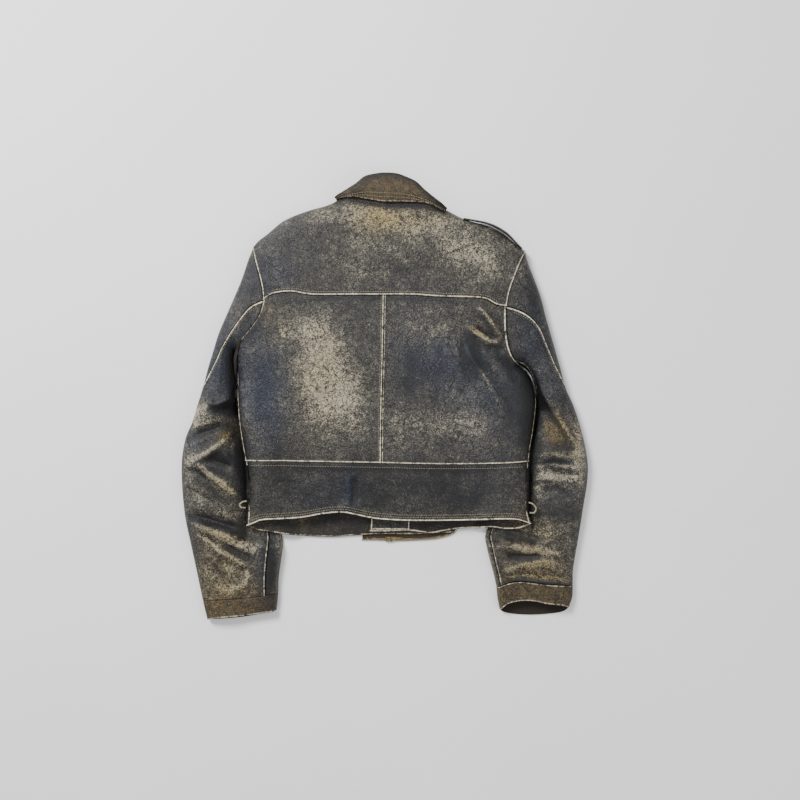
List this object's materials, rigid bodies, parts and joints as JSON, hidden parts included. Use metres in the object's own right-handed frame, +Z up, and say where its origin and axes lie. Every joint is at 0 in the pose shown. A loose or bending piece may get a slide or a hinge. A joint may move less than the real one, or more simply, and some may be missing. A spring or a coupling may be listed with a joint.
{
  "type": "leather jacket",
  "caption": "Worn black leather motorcycle jacket lying face down, back uppermost, with a folded collar, a yoke, a waistband and two sleeves at its sides.",
  "frame": {"origin": "on the floor under the middle of the garment's footprint", "axes": "+Y towards the collar, +X to the right of the back as seen from above, +Z up off the floor"},
  "size_m": [0.675, 0.7416, 0.0384],
  "materials": {
    "body_leather": "worn, charcoal with rubbed patches",
    "sleeve_leather": "worn, charcoal with brown creases",
    "cuff_leather": "worn brown",
    "collar_leather": "worn olive brown",
    "strap_leather": "dark with rubbed edges",
    "tape": "matt woven",
    "old_brass": "dull, tarnished"
  },
  "bodies": {
    "root": {"back_yoke": "body_leather", "back_left": "body_leather", "back_right": "body_leather", "waistband": "body_leather", "front_left": "body_leather", "front_right": "body_leather", "left_under_sleeve": "sleeve_leather", "left_top_sleeve": "sleeve_leather", "right_under_sleeve": "sleeve_leather", "right_top_sleeve": "sleeve_leather", "left_cuff_upper": "cuff_leather", "left_cuff_lower": "cuff_leather", "right_cuff_upper": "cuff_leather", "right_cuff_lower": "cuff_leather", "collar": "collar_leather", "left_lapel": "body_leather", "right_lapel": "body_leather", "corner_facing": "body_leather", "right_epaulette": "strap_leather", "left_side_strap": "strap_leather", "right_side_strap": "strap_leather", "zip_tape": "tape", "zip_slider": "old_brass"}
  },
  "joints": []
}
